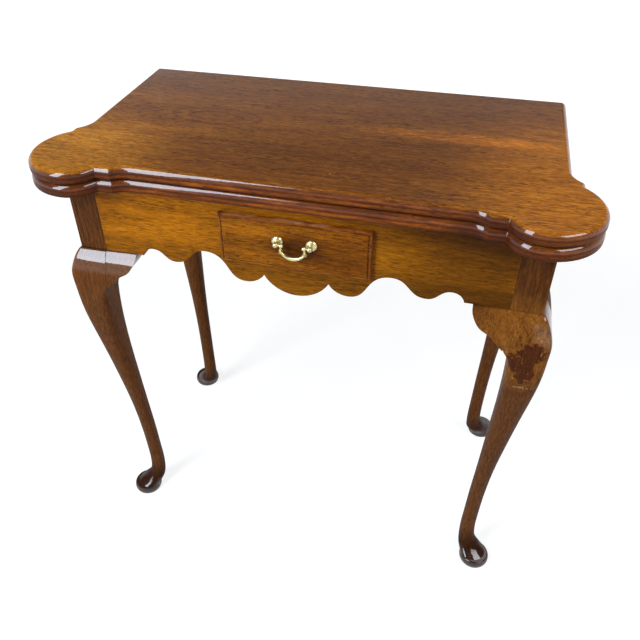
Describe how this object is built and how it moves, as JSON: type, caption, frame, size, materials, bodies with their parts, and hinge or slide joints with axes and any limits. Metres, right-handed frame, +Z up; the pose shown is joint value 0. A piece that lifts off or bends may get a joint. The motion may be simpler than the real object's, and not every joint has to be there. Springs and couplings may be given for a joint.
{
  "type": "folding game table",
  "caption": "Fold-over game table with round front corner lobes, scalloped apron, small lipped drawer with bail pull, cabriole legs on pad feet and a rear gate leg that carries the open top.",
  "frame": {"origin": "on the floor, under the middle of the closed table's bounding box", "axes": "+Z up, -Y towards the drawer front, +X to the right of a person who faces the drawer"},
  "size_m": [0.759, 0.4032, 0.737],
  "materials": {
    "top_wood": "polished",
    "rail_wood": "polished",
    "leg_wood": "polished",
    "drawer_front_wood": "polished",
    "inner_wood": "bare",
    "brass": "polished",
    "steel": "plain"
  },
  "bodies": {
    "frame": {"lower_leaf": "top_wood", "front_rail": "rail_wood", "left_side_rail": "rail_wood", "right_side_rail": "rail_wood", "inner_back_rail": "inner_wood", "fixed_outer_rail": "rail_wood", "front_left_leg": "leg_wood", "front_right_leg": "leg_wood", "rear_left_leg": "leg_wood", "front_left_knee_block": "leg_wood", "front_right_knee_block": "leg_wood", "left_side_knee_block": "leg_wood", "right_side_knee_block": "leg_wood", "rear_left_knee_block": "leg_wood", "left_drawer_runner": "inner_wood", "right_drawer_runner": "inner_wood", "left_drawer_kicker": "inner_wood", "right_drawer_kicker": "inner_wood", "left_cleat": "inner_wood", "right_cleat": "inner_wood", "top_screws": "steel", "left_hinge_lower_plate": "brass", "right_hinge_lower_plate": "brass", "hinge_pins": "brass", "lower_hinge_screws": "brass", "gate_pin": "steel", "outer_rail_screws": "steel"},
    "folding_leaf": {"upper_leaf": "top_wood", "left_hinge_upper_plate": "brass", "right_hinge_upper_plate": "brass", "upper_hinge_screws": "brass"},
    "gate": {"fly_rail": "rail_wood", "gate_leg": "leg_wood", "gate_knee_block": "leg_wood"},
    "drawer": {"drawer_front": "drawer_front_wood", "drawer_left_side": "inner_wood", "drawer_right_side": "inner_wood", "drawer_back": "inner_wood", "drawer_bottom": "inner_wood", "left_pull_post": "brass", "right_pull_post": "brass", "pull_rosettes": "brass", "pull_nuts": "brass"},
    "bail": {"bail": "brass"}
  },
  "joints": [
    {"name": "leaf_fold", "type": "hinge", "parent": "frame", "child": "folding_leaf", "pos_m": [0, 0.1865, 0.7181], "axis": [-1, 0, 0], "range_deg": [0, 180]},
    {"name": "gate_swing", "type": "hinge", "parent": "frame", "child": "gate", "pos_m": [0, 0.1511, 0.6418], "axis": [0, 0, 1], "range_deg": [0, 90]},
    {"name": "drawer_slide", "type": "slide", "parent": "frame", "child": "drawer", "axis": [0, -1, 0], "range_m": [0, 0.17]},
    {"name": "bail_swing", "type": "hinge", "parent": "drawer", "child": "bail", "pos_m": [0.001, -0.1657, 0.647], "axis": [-1, 0, 0], "range_deg": [-19, 150]}
  ]
}
